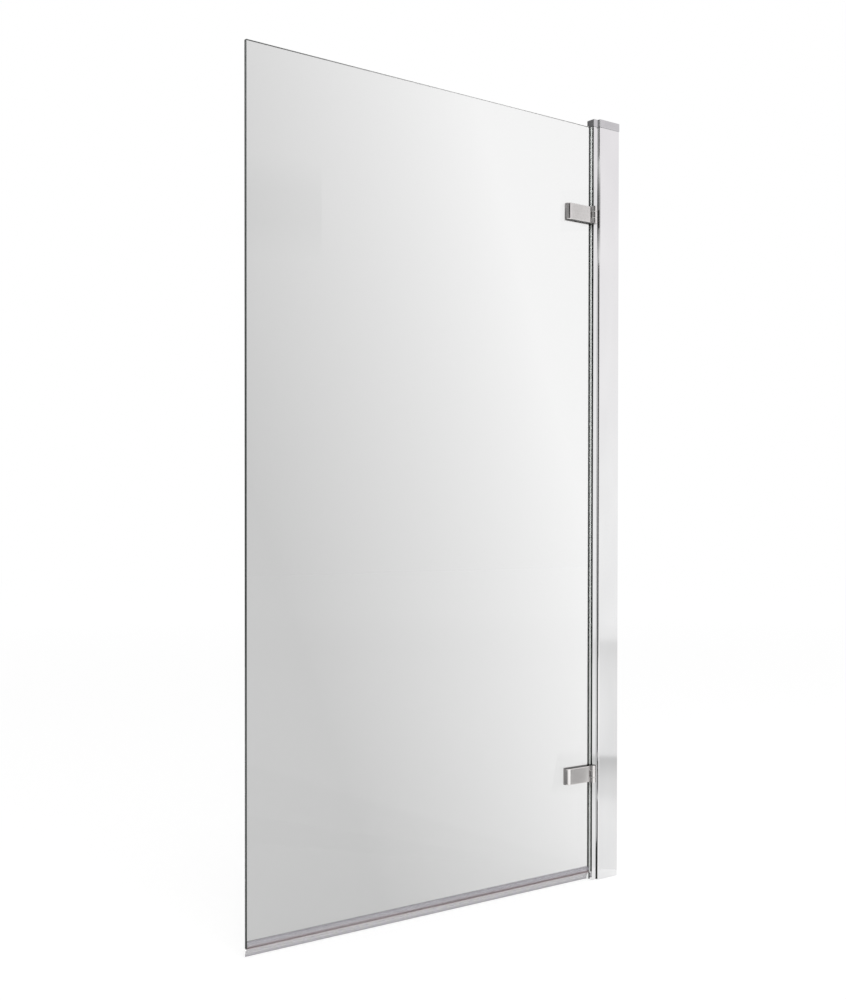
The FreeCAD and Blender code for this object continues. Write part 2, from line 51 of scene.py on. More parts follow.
ALUMINIUM_GREYS = (0.3, (0.80, 0.80, 0.805)), (0.7, (0.86, 0.86, 0.862))
DIE_LINE_DEPTH = 0.0000012
MOUTH = -0.0498                     # X: the lip of the channel and all of the post lie past it
LIP_FRONT = -0.012                  # Y: the lip goes back from the channel's face to the post's
LIP_BACK = -0.008
LIP_ROLL = 0.00063                  # the fall of the lip over that depth


def new_material(name):
    """A node material with one Principled shader: (material, nodes, links, shader)."""
    material = bpy.data.materials.new(name)
    material.use_nodes = True
    tree = material.node_tree
    return material, tree.nodes, tree.links, tree.nodes["Principled BSDF"]


def object_axes(nodes, links):
    """The X, Y and Z outputs of the Object coordinates."""
    place = nodes.new("ShaderNodeTexCoord")
    axes = nodes.new("ShaderNodeSeparateXYZ")
    links.new(place.outputs["Object"], axes.inputs["Vector"])
    return axes.outputs


def object_pattern(nodes, links, stretch, scale, detail):
    """Noise on Object coordinates, in cells per metre times the stretch along each axis."""
    place = nodes.new("ShaderNodeTexCoord")
    mapping = nodes.new("ShaderNodeMapping")
    mapping.inputs["Scale"].default_value = stretch
    noise = nodes.new("ShaderNodeTexNoise")
    noise.inputs["Scale"].default_value = scale
    noise.inputs["Detail"].default_value = detail
    links.new(place.outputs["Object"], mapping.inputs["Vector"])
    links.new(mapping.outputs["Vector"], noise.inputs["Vector"])
    return noise.outputs["Fac"]


def spread(nodes, links, source, low, high, source_low=0.3, source_high=0.7):
    """A pattern's middle range, or the range given, carried to low..high."""
    ranged = nodes.new("ShaderNodeMapRange")
    ranged.inputs["From Min"].default_value = source_low
    ranged.inputs["From Max"].default_value = source_high
    ranged.inputs["To Min"].default_value = low
    ranged.inputs["To Max"].default_value = high
    links.new(source, ranged.inputs["Value"])
    return ranged.outputs["Result"]


def arithmetic(nodes, links, operation, first, second, clamp=False):
    """One Math node on sockets or numbers."""
    step = nodes.new("ShaderNodeMath")
    step.operation = operation
    step.use_clamp = clamp
    for socket, value in zip(step.inputs, (first, second)):
        if isinstance(value, (int, float)):
            socket.default_value = value
        else:
            links.new(value, socket)
    return step.outputs[0]


def tinted(nodes, links, source, *stops):
    """A colour from (position, colour) stops, chosen by a value from 0 to 1."""
    ramp = nodes.new("ShaderNodeValToRGB")
    marks = ramp.color_ramp.elements
    while len(marks) < len(stops):
        marks.new(0.5)
    for mark, (position, colour) in zip(marks, stops):
        mark.position = position
        mark.color = (*colour, 1)
    links.new(source, ramp.inputs["Fac"])
    return ramp.outputs["Color"]


def surfaced(nodes, links, shader, stained, stops, worn, smooth, rough):
    """Colours by the stained pattern, and roughness from smooth to rough by the worn one."""
    links.new(tinted(nodes, links, stained, *stops), shader.inputs["Base Color"])
    links.new(spread(nodes, links, worn, smooth, rough), shader.inputs["Roughness"])


def relief(nodes, links, shader, source, depth):
    """Bump of a real depth in metres."""
    bump = nodes.new("ShaderNodeBump")
    bump.inputs["Strength"].default_value = 1.0
    bump.inputs["Distance"].default_value = depth
    links.new(source, bump.inputs["Height"])
    links.new(bump.outputs["Normal"], shader.inputs["Normal"])


def give(material, *names):
    """Puts one material on every slot of these CAD nodes."""
    for name in names:
        slots = cad_nodes[name].data.materials
        for index in range(len(slots)):
            slots[index] = material
        if not len(slots):
            slots.append(material)


polished_aluminium, nodes, links, shader = new_material("polished_aluminium")
shader.inputs["Metallic"].default_value = 1.0
die_lines = object_pattern(nodes, links, (1, 1, 0.004), scale=900, detail=3)
clouding = object_pattern(nodes, links, (1, 1, 0.35), scale=14, detail=2)
surfaced(
    nodes, links, shader, clouding, ALUMINIUM_GREYS, die_lines, smooth=0.035, rough=0.075)

# The lip of the channel beside the post is rolled back a few degrees.
axes = object_axes(nodes, links)
rolled = arithmetic(
    nodes, links, "MULTIPLY",
    spread(nodes, links, axes["Y"], 0.0, LIP_ROLL, LIP_FRONT, LIP_BACK),
    arithmetic(nodes, links, "LESS_THAN", axes["X"], MOUTH),
)
scored = arithmetic(nodes, links, "MULTIPLY", die_lines, DIE_LINE_DEPTH)
relief(nodes, links, shader, arithmetic(nodes, links, "ADD", rolled, scored), 1.0)
give(polished_aluminium, "wall_channel", "adjusting_post")


# ---- End caps ----
# Two moulded caps in satin silver grey: one covers the channel, and the smaller one, a little
# lower, rides on the post. Each is pushed on and shows a fine spark-eroded texture.

CAP_GREYS = (0.3, (0.575, 0.575, 0.585)), (0.7, (0.615, 0.615, 0.625))
GRAIN_DEPTH = 0.000001

satin_cap, nodes, links, shader = new_material("satin_cap")
shader.inputs["Metallic"].default_value = 1.0
grain = object_pattern(nodes, links, (1, 1, 1), scale=2600, detail=2)
mottle = object_pattern(nodes, links, (1, 1, 1), scale=60, detail=2)
surfaced(nodes, links, shader, mottle, CAP_GREYS, grain, smooth=0.13, rough=0.19)
relief(nodes, links, shader, grain, GRAIN_DEPTH)
give(satin_cap, "channel_cap", "post_cap")


# ---- Side screws and their covers ----
# Three stainless pan-head screws lock the post in the channel from the wet side, each in a
# square nut. A domed chrome cover is pushed over every head, so only the covers are seen.

COVER_RADIUS = 0.006
COVER_HEIGHT = 0.0044
COVER_WALL = 0.001
COVER_DOME = 0.002                  # rounding of the crown, outside and inside
COVER_DOME_INSIDE = 0.0015
COVER_SEAT = 0.012                  # wet face of the channel
COVER_X = -0.040
COVER_FIRST = 0.200
COVER_PITCH = 0.514
COVER_COUNT = 3
ROUND_SIDES = 48
METAL_CREASE = 35                   # degrees, past which an edge stays sharp
CHROME_GREYS = (0.3, (0.80, 0.775, 0.765)), (0.7, (0.84, 0.82, 0.81))
PLATING_DEPTH = 0.000001
STAINLESS_GREYS = (0.3, (0.50, 0.50, 0.49)), (0.7, (0.60, 0.60, 0.59))


def turned(name, profile):
    """A body turned about the Y axis from (radius, Y) points. A radius of 0 closes it."""
    shape = bmesh.new()
    rings = []
    for radius, along in profile:
        count = ROUND_SIDES if radius else 1
        angles = [2 * math.pi * step / count for step in range(count)]
        rings.append([
            shape.verts.new((radius * math.cos(a), along, radius * math.sin(a))) for a in angles
        ])
    for lower, upper in zip(rings, rings[1:]):
        for step in range(ROUND_SIDES):
            after = (step + 1) % ROUND_SIDES
            corners = [lower[step % len(lower)], lower[after % len(lower)]]
            corners += [upper[after % len(upper)], upper[step % len(upper)]]
            shape.faces.new(list(dict.fromkeys(corners)))
    return finished_mesh(name, shape, METAL_CREASE)


def finished_mesh(name, shape, crease):
    """Normals outwards, smooth faces, and sharp edges past the crease angle."""
    bmesh.ops.recalc_face_normals(shape, faces=shape.faces)
    for face in shape.faces:
        face.smooth = True
    mesh = bpy.data.meshes.new(name)
    shape.to_mesh(mesh)
    shape.free()
    mesh.set_sharp_from_angle(angle=math.radians(crease))
    return mesh


def coated(mesh, material):
    """One material on the whole mesh."""
    mesh.materials.clear()
    mesh.materials.append(material)
    mesh.polygons.foreach_set("material_index", [0] * len(mesh.polygons))
    return mesh


def new_tree(name, sockets):
    """An empty Geometry Nodes tree with these named inputs: (tree, its input, its output)."""
    tree = bpy.data.node_groups.new(name, "GeometryNodeTree")
    for label, kind in (("Geometry", "Geometry"), *sockets, ("Material", "Material")):
        tree.interface.new_socket(label, in_out="INPUT", socket_type=f"NodeSocket{kind}")
    tree.interface.new_socket("Geometry", in_out="OUTPUT", socket_type="NodeSocketGeometry")
    return tree, tree.nodes.new("NodeGroupInput"), tree.nodes.new("NodeGroupOutput")


def close_tree(tree, given, out, shape):
    """Ends a tree in Realize Instances and Set Material."""
    real = tree.nodes.new("GeometryNodeRealizeInstances")
    finish = tree.nodes.new("GeometryNodeSetMaterial")
    tree.links.new(shape, real.inputs["Geometry"])
    tree.links.new(real.outputs["Geometry"], finish.inputs["Geometry"])
    tree.links.new(given.outputs["Material"], finish.inputs["Material"])
    tree.links.new(finish.outputs["Geometry"], out.inputs["Geometry"])


def row_tree():
    """Sets the same part out in a straight row."""
    sockets = (("First", "Vector"), ("Step", "Vector"), ("Count", "Int"))
    tree, given, out = new_tree("row", sockets)
    line = tree.nodes.new("GeometryNodeMeshLine")
    line.mode = "OFFSET"
    tree.links.new(given.outputs["Count"], line.inputs["Count"])
    tree.links.new(given.outputs["First"], line.inputs["Start Location"])
    tree.links.new(given.outputs["Step"], line.inputs["Offset"])
    parts = tree.nodes.new("GeometryNodeInstanceOnPoints")
    tree.links.new(line.outputs["Mesh"], parts.inputs["Points"])
    tree.links.new(given.outputs["Geometry"], parts.inputs["Instance"])
    close_tree(tree, given, out, parts.outputs["Instances"])
    return tree


def made(name, tree, start, **inputs):
    """The plain mesh that a tree makes of a start shape, as a piece of this name."""
    piece = bpy.data.objects.new(name, start)
    bpy.context.scene.collection.objects.link(piece)
    modifier = piece.modifiers.new("nodes", "NODES")
    modifier.node_group = tree
    for item in tree.interface.items_tree:
        if item.in_out == "INPUT" and item.name in inputs:
            modifier[item.identifier] = inputs[item.name]
    graph = bpy.context.evaluated_depsgraph_get()
    result = bpy.data.meshes.new_from_object(piece.evaluated_get(graph), depsgraph=graph)
    piece.modifiers.remove(modifier)
    piece.data = coated(result, inputs["Material"])
    return piece


def quarter(radius, along, size, steps):
    """(radius, Y) points round a corner of this size, from the side on to the end."""
    turns = [math.pi / 2 * step / steps for step in range(steps + 1)]
    return [
        (radius - size + size * math.cos(a), along - size + size * math.sin(a)) for a in turns
    ]


def cover_section():
    """Half the section of a cover: from the middle of its ceiling out, down and over its crown."""
    ceiling = COVER_HEIGHT - COVER_WALL
    bore = COVER_RADIUS - COVER_WALL
    inside = quarter(bore, ceiling, COVER_DOME_INSIDE, steps=6)[::-1]
    outside = quarter(COVER_RADIUS, COVER_HEIGHT, COVER_DOME, steps=8)
    rim = [(bore, 0), (COVER_RADIUS, 0)]
    return [(0, ceiling)] + inside + rim + outside + [(0, COVER_HEIGHT)]


hinge_chrome, nodes, links, shader = new_material("hinge_chrome")
shader.inputs["Metallic"].default_value = 1.0
plating = object_pattern(nodes, links, (1, 1, 1), scale=45, detail=3)
wiping = object_pattern(nodes, links, (1, 1, 1), scale=420, detail=2)
surfaced(nodes, links, shader, plating, CHROME_GREYS, wiping, smooth=0.05, rough=0.10)
relief(nodes, links, shader, plating, PLATING_DEPTH)

row = row_tree()
covers = made(
    "screw_covers", row, turned("cover", cover_section()),
    First=(COVER_X, COVER_SEAT, COVER_FIRST), Step=(0.0, 0.0, COVER_PITCH), Count=COVER_COUNT,
    Material=hinge_chrome,
)
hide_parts("side_screw_covers")
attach(covers, "wall_frame")

stainless, nodes, links, shader = new_material("stainless")
shader.inputs["Metallic"].default_value = 1.0
turning = object_pattern(nodes, links, (1, 1, 1), scale=1800, detail=2)
surfaced(nodes, links, shader, turning, STAINLESS_GREYS, turning, smooth=0.22, rough=0.36)
give(stainless, "side_screws", "clamp_nuts")


# ---- Hinges ----
# Cast and chrome-plated: a thick outer clamp plate with two end knuckles, a fixed leaf with
# the middle knuckle, and a thinner inner plate. White nylon bushes part the knuckles.

NYLON_WHITES = (0.3, (0.70, 0.70, 0.67)), (0.7, (0.78, 0.78, 0.75))
RUBBER_GREYS = (0.3, (0.36, 0.37, 0.37)), (0.7, (0.46, 0.47, 0.47))

nylon, nodes, links, shader = new_material("nylon")
milk = object_pattern(nodes, links, (1, 1, 1), scale=700, detail=2)
surfaced(nodes, links, shader, milk, NYLON_WHITES, milk, smooth=0.42, rough=0.55)

gasket_rubber, nodes, links, shader = new_material("gasket_rubber")
fibre = object_pattern(nodes, links, (1, 1, 1), scale=1200, detail=3)
surfaced(nodes, links, shader, fibre, RUBBER_GREYS, fibre, smooth=0.5, rough=0.7)

for place in ("upper", "lower"):
    give(hinge_chrome, f"{place}_hinge_leaf", f"{place}_hinge_bracket", f"{place}_clamp_plate")
    give(stainless, f"{place}_bracket_screws", f"{place}_hinge_pin")
    give(nylon, f"{place}_hinge_bushes", f"{place}_hole_liners")
    give(gasket_rubber, f"{place}_outer_gasket", f"{place}_inner_gasket")


# ---- Clamp screws ----
# Two countersunk stainless screws with a hexagon socket hold each pair of plates on the glass.
# They go in from the wet side, through sleeves in the glass, and into the outer plate.

SCREW_RADIUS = 0.003
SCREW_TIP = -0.0065                 # Y, inside the outer plate
TIP_CHAMFER = 0.0005
HEAD_FACE = 0.0072
HEAD_RADIUS = 0.0058
HEAD_BEVEL = 0.0003
SOCKET_FLATS = 0.004
SOCKET_DEPTH = 0.0024
LEAD_IN = 0.00035
LEAD_IN_FLARE = 1.22                # its mouth, in half widths of the socket across flats
SOCKET_FLOOR = 0.94                 # flat floor round the drill point, in widths across flats
DRILL_RADIUS = 0.2
DRILL_DEPTH = 0.0006
SCREW_FIRST = -0.113                # X of the screw at the free end of the plates
SCREW_PITCH = 0.026
SCREW_COUNT = 2


def socket_screw():
    """One countersunk screw about the Y axis, with a lead-in round its hexagon socket."""
    turns = [2 * math.pi * step / ROUND_SIDES for step in range(ROUND_SIDES)]

    def ring(radius, along):
        return [(radius * math.cos(a), along, radius * math.sin(a)) for a in turns]

    def hexagon(flats, along):
        edge = [flats / 2 / math.cos((a % (math.pi / 3)) - math.pi / 6) for a in turns]
        return [(r * math.cos(a), along, r * math.sin(a)) for r, a in zip(edge, turns)]

    cone = HEAD_RADIUS - SCREW_RADIUS
    floor = HEAD_FACE - SOCKET_DEPTH
    rows = [
        ring(SCREW_RADIUS - TIP_CHAMFER, SCREW_TIP),
        ring(SCREW_RADIUS, SCREW_TIP + TIP_CHAMFER),
        ring(SCREW_RADIUS, HEAD_FACE - cone),
        ring(HEAD_RADIUS, HEAD_FACE - HEAD_BEVEL),
        ring(HEAD_RADIUS - HEAD_BEVEL, HEAD_FACE),
        ring(SOCKET_FLATS / 2 * LEAD_IN_FLARE, HEAD_FACE),
        hexagon(SOCKET_FLATS, HEAD_FACE - LEAD_IN),
        hexagon(SOCKET_FLATS, floor),
        hexagon(SOCKET_FLATS * SOCKET_FLOOR, floor),
        ring(SOCKET_FLATS * DRILL_RADIUS, floor - DRILL_DEPTH),
    ]
    shape = bmesh.new()
    rings = [[shape.verts.new(point) for point in points] for points in rows]
    for lower, upper in zip(rings, rings[1:]):
        for step in range(ROUND_SIDES):
            after = (step + 1) % ROUND_SIDES
            shape.faces.new((lower[step], lower[after], upper[after], upper[step]))
    for end in (rings[0], rings[-1]):
        shape.faces.new(end)
    return finished_mesh("socket_screw", shape, METAL_CREASE)


screw_mesh = socket_screw()
for place in ("upper", "lower"):
    low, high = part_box(f"{place}_clamp_screws")
    screws = made(
        f"{place}_socket_screws", row, screw_mesh,
        First=(SCREW_FIRST, 0.0, (low[2] + high[2]) / 2), Step=(SCREW_PITCH, 0.0, 0.0),
        Count=SCREW_COUNT, Material=stainless,
    )
    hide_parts(f"{place}_clamp_screws")
    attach(screws, "glass_leaf")


# ---- Pane ----
# Toughened float glass, 6 mm, with ground and polished edges. Iron in the glass makes light that
# runs along the pane dark green, so the edges read as dark lines round a grey sheet. The sheet's
# grey is its own pale tint with a painted reflection of a darker surround over it, and the edge
# lines are painted lighter going up.

PANE_LEFT = -0.800
PANE_RIGHT = -0.065
PANE_TOP = 1.415
EDGE_BAND = 0.0008                  # arris and the ground face beyond it
HINGE_BAND = 0.0022                 # the same at the hinge edge, where more of it is ground
FREE_EDGE_BACK = 0.001              # Y: the free edge is dark from the dry side up to here
TOP_LINE_END = -0.36                # X: the painted fade of the dark line along the top has run out here
# Painted reflection: these tints and where they fall stand in for a darker surround mirrored in
# the glass.
SHEET_TINTS_AND_PAINTED_REFLECTION = (0, (0.590, 0.588, 0.589)), (1, (0.952, 0.949, 0.950))
PAINTED_REFLECTION_AT_FREE_EDGE = -0.39          # where the painted reflection's lightness, from 0 to 1, runs through those tints
PAINTED_REFLECTION_AT_HINGES = 0.66
PAINTED_REFLECTION_PER_METRE_UP = 0.52
PAINTED_REFLECTION_LIGHTEST_X = -0.067                   # X where the painted reflection is lightest
# Painted shade: the free edge and the top line go from the darker tint at the foot to the lighter
# one up high.
EDGE_TINTS = (0, (0.033, 0.040, 0.036)), (1, (0.15, 0.16, 0.155))
EDGE_FOOT = 0.05                    # heights between which the free edge goes through them
EDGE_HEAD = 1.40
EDGE_ROUGHNESS = 0.3
SHADOW_TINT = (0.87, 0.88, 0.875, 1)


def let_lamps_through(nodes, links, glass):
    """Shadow rays pass the glass as a plain tint, so lamps light what is behind it."""
    clear = nodes.new("ShaderNodeBsdfTransparent")
    clear.inputs["Color"].default_value = SHADOW_TINT
    path = nodes.new("ShaderNodeLightPath")
    mix = nodes.new("ShaderNodeMixShader")
    links.new(path.outputs["Is Shadow Ray"], mix.inputs["Fac"])
    links.new(glass.outputs[0], mix.inputs[1])
    links.new(clear.outputs[0], mix.inputs[2])
    links.new(mix.outputs[0], nodes["Material Output"].inputs["Surface"])


def blended(nodes, links, share, first, second):
    """A colour that goes from the first to the second. They are the Mix node's inputs 6 and 7."""
    mix = nodes.new("ShaderNodeMix")
    mix.data_type = "RGBA"
    links.new(share, mix.inputs["Factor"])
    for socket, colour in ((mix.inputs[6], first), (mix.inputs[7], second)):
        if isinstance(colour, tuple):
            socket.default_value = (*colour, 1)
        else:
            links.new(colour, socket)
    return mix.outputs[2]


float_glass, nodes, links, shader = new_material("float_glass")
shader.inputs["IOR"].default_value = 1.52
axes = object_axes(nodes, links)
along_x, up_z = axes["X"], axes["Z"]

# The sheet: a painted reflection over the glass's own pale tint, greyer towards the free edge and
# the foot, lighter towards the hinges and the top.
painted_reflection = arithmetic(
    nodes, links, "ADD",
    spread(nodes, links, along_x, PAINTED_REFLECTION_AT_FREE_EDGE, PAINTED_REFLECTION_AT_HINGES, PANE_LEFT, PAINTED_REFLECTION_LIGHTEST_X),
    arithmetic(nodes, links, "MULTIPLY", up_z, PAINTED_REFLECTION_PER_METRE_UP), clamp=True,
)
sheet_tint_and_painted_reflection = tinted(nodes, links, painted_reflection, *SHEET_TINTS_AND_PAINTED_REFLECTION)

# The edges: dark green at both ends, and along the top a line that fades out towards the hinges.
# That fading, and the free edge and top line getting lighter going up, are painted shade.
on_top = arithmetic(
    nodes, links, "MULTIPLY",
    spread(nodes, links, along_x, 1.0, 0.0, PANE_LEFT, TOP_LINE_END),
    arithmetic(nodes, links, "GREATER_THAN", up_z, PANE_TOP - EDGE_BAND),
)
on_free_end = arithmetic(
    nodes, links, "MULTIPLY",
    arithmetic(nodes, links, "LESS_THAN", along_x, PANE_LEFT + EDGE_BAND),
    arithmetic(nodes, links, "LESS_THAN", axes["Y"], FREE_EDGE_BACK),
)
on_hinge_end = arithmetic(nodes, links, "GREATER_THAN", along_x, PANE_RIGHT - HINGE_BAND)
edge = arithmetic(
    nodes, links, "MAXIMUM", on_top,
    arithmetic(nodes, links, "ADD", on_free_end, on_hinge_end),
)
painted_edge_light = arithmetic(
    nodes, links, "MULTIPLY",
    spread(nodes, links, up_z, 0.0, 1.0, EDGE_FOOT, EDGE_HEAD),
    arithmetic(nodes, links, "LESS_THAN", along_x, PANE_RIGHT - HINGE_BAND),
)
edge_tint = tinted(nodes, links, painted_edge_light, *EDGE_TINTS)
links.new(blended(nodes, links, edge, sheet_tint_and_painted_reflection, edge_tint), shader.inputs["Base Color"])
links.new(arithmetic(nodes, links, "SUBTRACT", 1.0, edge), shader.inputs["Transmission Weight"])
links.new(
    arithmetic(nodes, links, "MULTIPLY", edge, EDGE_ROUGHNESS), shader.inputs["Roughness"])
let_lamps_through(nodes, links, shader)
iron = nodes.new("ShaderNodeVolumeAbsorption")
iron.inputs["Color"].default_value = (0.55, 0.62, 0.58, 1)
iron.inputs["Density"].default_value = 9.0
links.new(iron.outputs["Volume"], nodes["Material Output"].inputs["Volume"])
give(float_glass, "glass_pane")


# ---- Side seals ----
# A soft clear bulb in the groove of the post closes the gap to the pane. It is cut into three
# lengths, which stop at the hinges, and its foot is pulled into the groove from the end.

NOSE = -0.062                       # X of the post's nose
GROOVE_LIP = 0.0012
FOOT = 0.0018
FOOT_HALF = 0.0028
NECK_HALF = 0.0014
BULB_HALF = 0.0032
BULB_CROWN = -0.0647
BULB_WALL = 0.0007
BULB_CORNER = 1.6                   # walls between the hollow and the corners of the bulb
WELD = 0.000005
FREE_PER_METRE = 90.0               # how fast a seal goes from held to free, by its drop
WAVER_SCALE = 16.0
SEAL_CREASE = 40
BULB_TINTS = (0.3, (0.80, 0.83, 0.81)), (0.7, (0.86, 0.89, 0.87))


def drawn_out(tree, given):
    """The given flat section drawn out along Z, with its ends closed."""
    nodes, links = tree.nodes, tree.links
    far = nodes.new("ShaderNodeCombineXYZ")
    links.new(given.outputs["Length"], far.inputs["Z"])
    line = nodes.new("GeometryNodeCurvePrimitiveLine")
    links.new(far.outputs["Vector"], line.inputs["End"])
    cuts = nodes.new("GeometryNodeResampleCurve")
    links.new(line.outputs["Curve"], cuts.inputs["Curve"])
    links.new(given.outputs["Cuts"], cuts.inputs["Count"])
    rim = nodes.new("GeometryNodeInputMeshEdgeNeighbors")
    lone = nodes.new("FunctionNodeCompare")
    lone.data_type = "INT"
    lone.operation = "EQUAL"
    lone.inputs[3].default_value = 1        # inputs 2 and 3 are the two whole numbers
    links.new(rim.outputs["Face Count"], lone.inputs[2])
    outline = nodes.new("GeometryNodeMeshToCurve")
    links.new(given.outputs["Geometry"], outline.inputs["Mesh"])
    links.new(lone.outputs["Result"], outline.inputs["Selection"])
    walls = nodes.new("GeometryNodeCurveToMesh")
    links.new(cuts.outputs["Curve"], walls.inputs["Curve"])
    links.new(outline.outputs["Curve"], walls.inputs["Profile Curve"])
    end = nodes.new("GeometryNodeTransform")
    links.new(given.outputs["Geometry"], end.inputs["Geometry"])
    links.new(far.outputs["Vector"], end.inputs["Translation"])
    whole = nodes.new("GeometryNodeJoinGeometry")
    for part in (walls.outputs["Mesh"], end.outputs["Geometry"], given.outputs["Geometry"]):
        links.new(part, whole.inputs["Geometry"])
    joined = nodes.new("GeometryNodeMergeByDistance")
    joined.inputs["Distance"].default_value = WELD
    links.new(whole.outputs["Geometry"], joined.inputs["Geometry"])
    return joined.outputs["Geometry"]


def wavering(tree, given, shape):
    """Pushes what hangs free below the held part aside, in slow waves along its length."""
    nodes, links = tree.nodes, tree.links
    place = nodes.new("GeometryNodeInputPosition")
    axes = nodes.new("ShaderNodeSeparateXYZ")
    links.new(place.outputs["Position"], axes.inputs["Vector"])
    drop = arithmetic(nodes, links, "SUBTRACT", given.outputs["Held above"], axes.outputs["Y"])
    free = arithmetic(nodes, links, "MULTIPLY", drop, FREE_PER_METRE, clamp=True)
    noise = nodes.new("ShaderNodeTexNoise")
    noise.inputs["Scale"].default_value = WAVER_SCALE
    noise.inputs["Detail"].default_value = 1.0
    links.new(place.outputs["Position"], noise.inputs["Vector"])
    push = arithmetic(nodes, links, "MULTIPLY", noise.outputs["Fac"], given.outputs["Waver"])
    amount = arithmetic(nodes, links, "MULTIPLY", push, free)
    sideways = nodes.new("ShaderNodeCombineXYZ")
    links.new(arithmetic(nodes, links, "MULTIPLY", amount, -1.0), sideways.inputs["X"])
    soft = nodes.new("GeometryNodeSetPosition")
    links.new(shape, soft.inputs["Geometry"])
    links.new(sideways.outputs["Vector"], soft.inputs["Offset"])
    return soft.outputs["Geometry"]


def extrusion_tree():
    """Draws a flat section out, lets its free parts waver, and sets it in its place."""
    sockets = (
        ("Length", "Float"), ("Cuts", "Int"), ("Waver", "Float"), ("Held above", "Float"),
        ("Place", "Vector"), ("Turn", "Rotation"),
    )
    tree, given, out = new_tree("extrusion", sockets)
    stand = tree.nodes.new("GeometryNodeTransform")
    tree.links.new(wavering(tree, given, drawn_out(tree, given)), stand.inputs["Geometry"])
    tree.links.new(given.outputs["Place"], stand.inputs["Translation"])
    tree.links.new(given.outputs["Turn"], stand.inputs["Rotation"])
    close_tree(tree, given, out, stand.outputs["Geometry"])
    return tree


def section(name, *outlines):
    """A flat section in X and Y: its outline, and that of a hollow if it has one."""
    loops = [[Vector((x, y, 0)) for x, y in outline] for outline in outlines]
    mesh = bpy.data.meshes.new(name)
    mesh.from_pydata([point for loop in loops for point in loop], [], tessellate_polygon(loops))
    return mesh


def arc(start, middle, end, steps):
    """Points from start to end on the smooth bow whose middle is given."""
    control = [2 * m - (s + e) / 2 for s, m, e in zip(start, middle, end)]
    points = []
    for step in range(steps + 1):
        t = step / steps
        points.append(tuple(
            (1 - t) ** 2 * s + 2 * t * (1 - t) * c + t ** 2 * e
            for s, c, e in zip(start, control, end)
        ))
    return points


def skinned(piece):
    """Turns a drawn seal's faces outwards and smooths them."""
    shape = bmesh.new()
    shape.from_mesh(piece.data)
    mesh = finished_mesh(piece.name, shape, SEAL_CREASE)
    piece.data = coated(mesh, piece.data.materials[0])


def bulb_section():
    """The bulb with its neck and foot, and the hollow inside it."""
    foot_left, foot_right = NOSE + GROOVE_LIP, NOSE + GROOVE_LIP + FOOT
    outline = arc((NOSE, -BULB_HALF), (BULB_CROWN, 0), (NOSE, BULB_HALF), steps=14)
    outline += [(NOSE, NECK_HALF), (foot_left, NECK_HALF), (foot_left, FOOT_HALF)]
    outline += [(foot_right, FOOT_HALF), (foot_right, -FOOT_HALF), (foot_left, -FOOT_HALF)]
    outline += [(foot_left, -NECK_HALF), (NOSE, -NECK_HALF)]
    half = BULB_HALF - BULB_CORNER * BULB_WALL
    back = NOSE - BULB_WALL
    hollow = arc((back, -half), (BULB_CROWN + BULB_WALL, 0), (back, half), steps=10)
    return section("bulb", outline, hollow)


clear_bulb, nodes, links, shader = new_material("clear_bulb")
shader.inputs["IOR"].default_value = 1.45
bulb_lines = object_pattern(nodes, links, (1, 1, 0.01), scale=700, detail=2)
surfaced(nodes, links, shader, bulb_lines, BULB_TINTS, bulb_lines, smooth=0.10, rough=0.16)
shader.inputs["Alpha"].default_value = 0.88

extrusion = extrusion_tree()
for span in ("lower", "middle", "upper"):
    low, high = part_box(f"side_seal_{span}")
    bulb = made(
        f"{span}_bulb_seal", extrusion, bulb_section(),
        Length=high[2] - low[2], Cuts=2, Place=(0.0, 0.0, low[2]), Material=clear_bulb,
    )
    skinned(bulb)
    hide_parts(f"side_seal_{span}")
    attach(bulb, "hinge_post")


# ---- Drip seal ----
# A clear vinyl extrusion pushed on the lower edge of the pane: a stiff clip that grips the
# glass, and a soft fin that sweeps from its dry side under the glass to the wet side.

GLASS_HALF = 0.003
GLASS_FOOT = 0.015                  # Z of the lower edge, from which the section's heights are
CLIP_WALL = 0.0011
CLIP_TOP = 0.0115
CLIP_BASE = -0.0013
CLIP_CHAMFER = 0.0003
LIP = 0.0005
FIN_ROOT = -0.00065
FIN_TIP = -0.0132
FIN_SWEEP = 0.0038
FIN_BOW = (0.0021, 0.00126)
FIN_WALL = 0.001
FIN_TIP_WALL = 0.0005
FIN_TIP_ROUND = (0.00015, 0.0002)
FIN_STEPS = 18
SEAL_SHORT = 0.001                  # at each end of the pane
SEAL_CUTS = 90
FIN_WAVER = 0.0004
FIN_HELD_ABOVE = -0.001
SEAL_FOOT = 0.001                   # Z from the fin's tip to the clip's lips, for the tints
SEAL_HEAD = 0.0265
VINYL_STREAK = 0.015
VINYL_TINTS = (
    (0.0, (0.42, 0.405, 0.435)), (0.48, (0.42, 0.405, 0.435)),      # fin
    (0.53, (0.37, 0.285, 0.30)), (0.68, (0.37, 0.285, 0.30)),       # foot of the clip
    (0.75, (0.63, 0.61, 0.67)), (0.90, (0.60, 0.58, 0.64)),         # its walls
    (0.96, (0.42, 0.40, 0.45)),                                     # its lips
)
VINYL_BODY = (0.0, 0.66), (0.12, 0.60), (0.2, 0.42), (0.50, 0.42), (0.56, 0.34)     # opacity


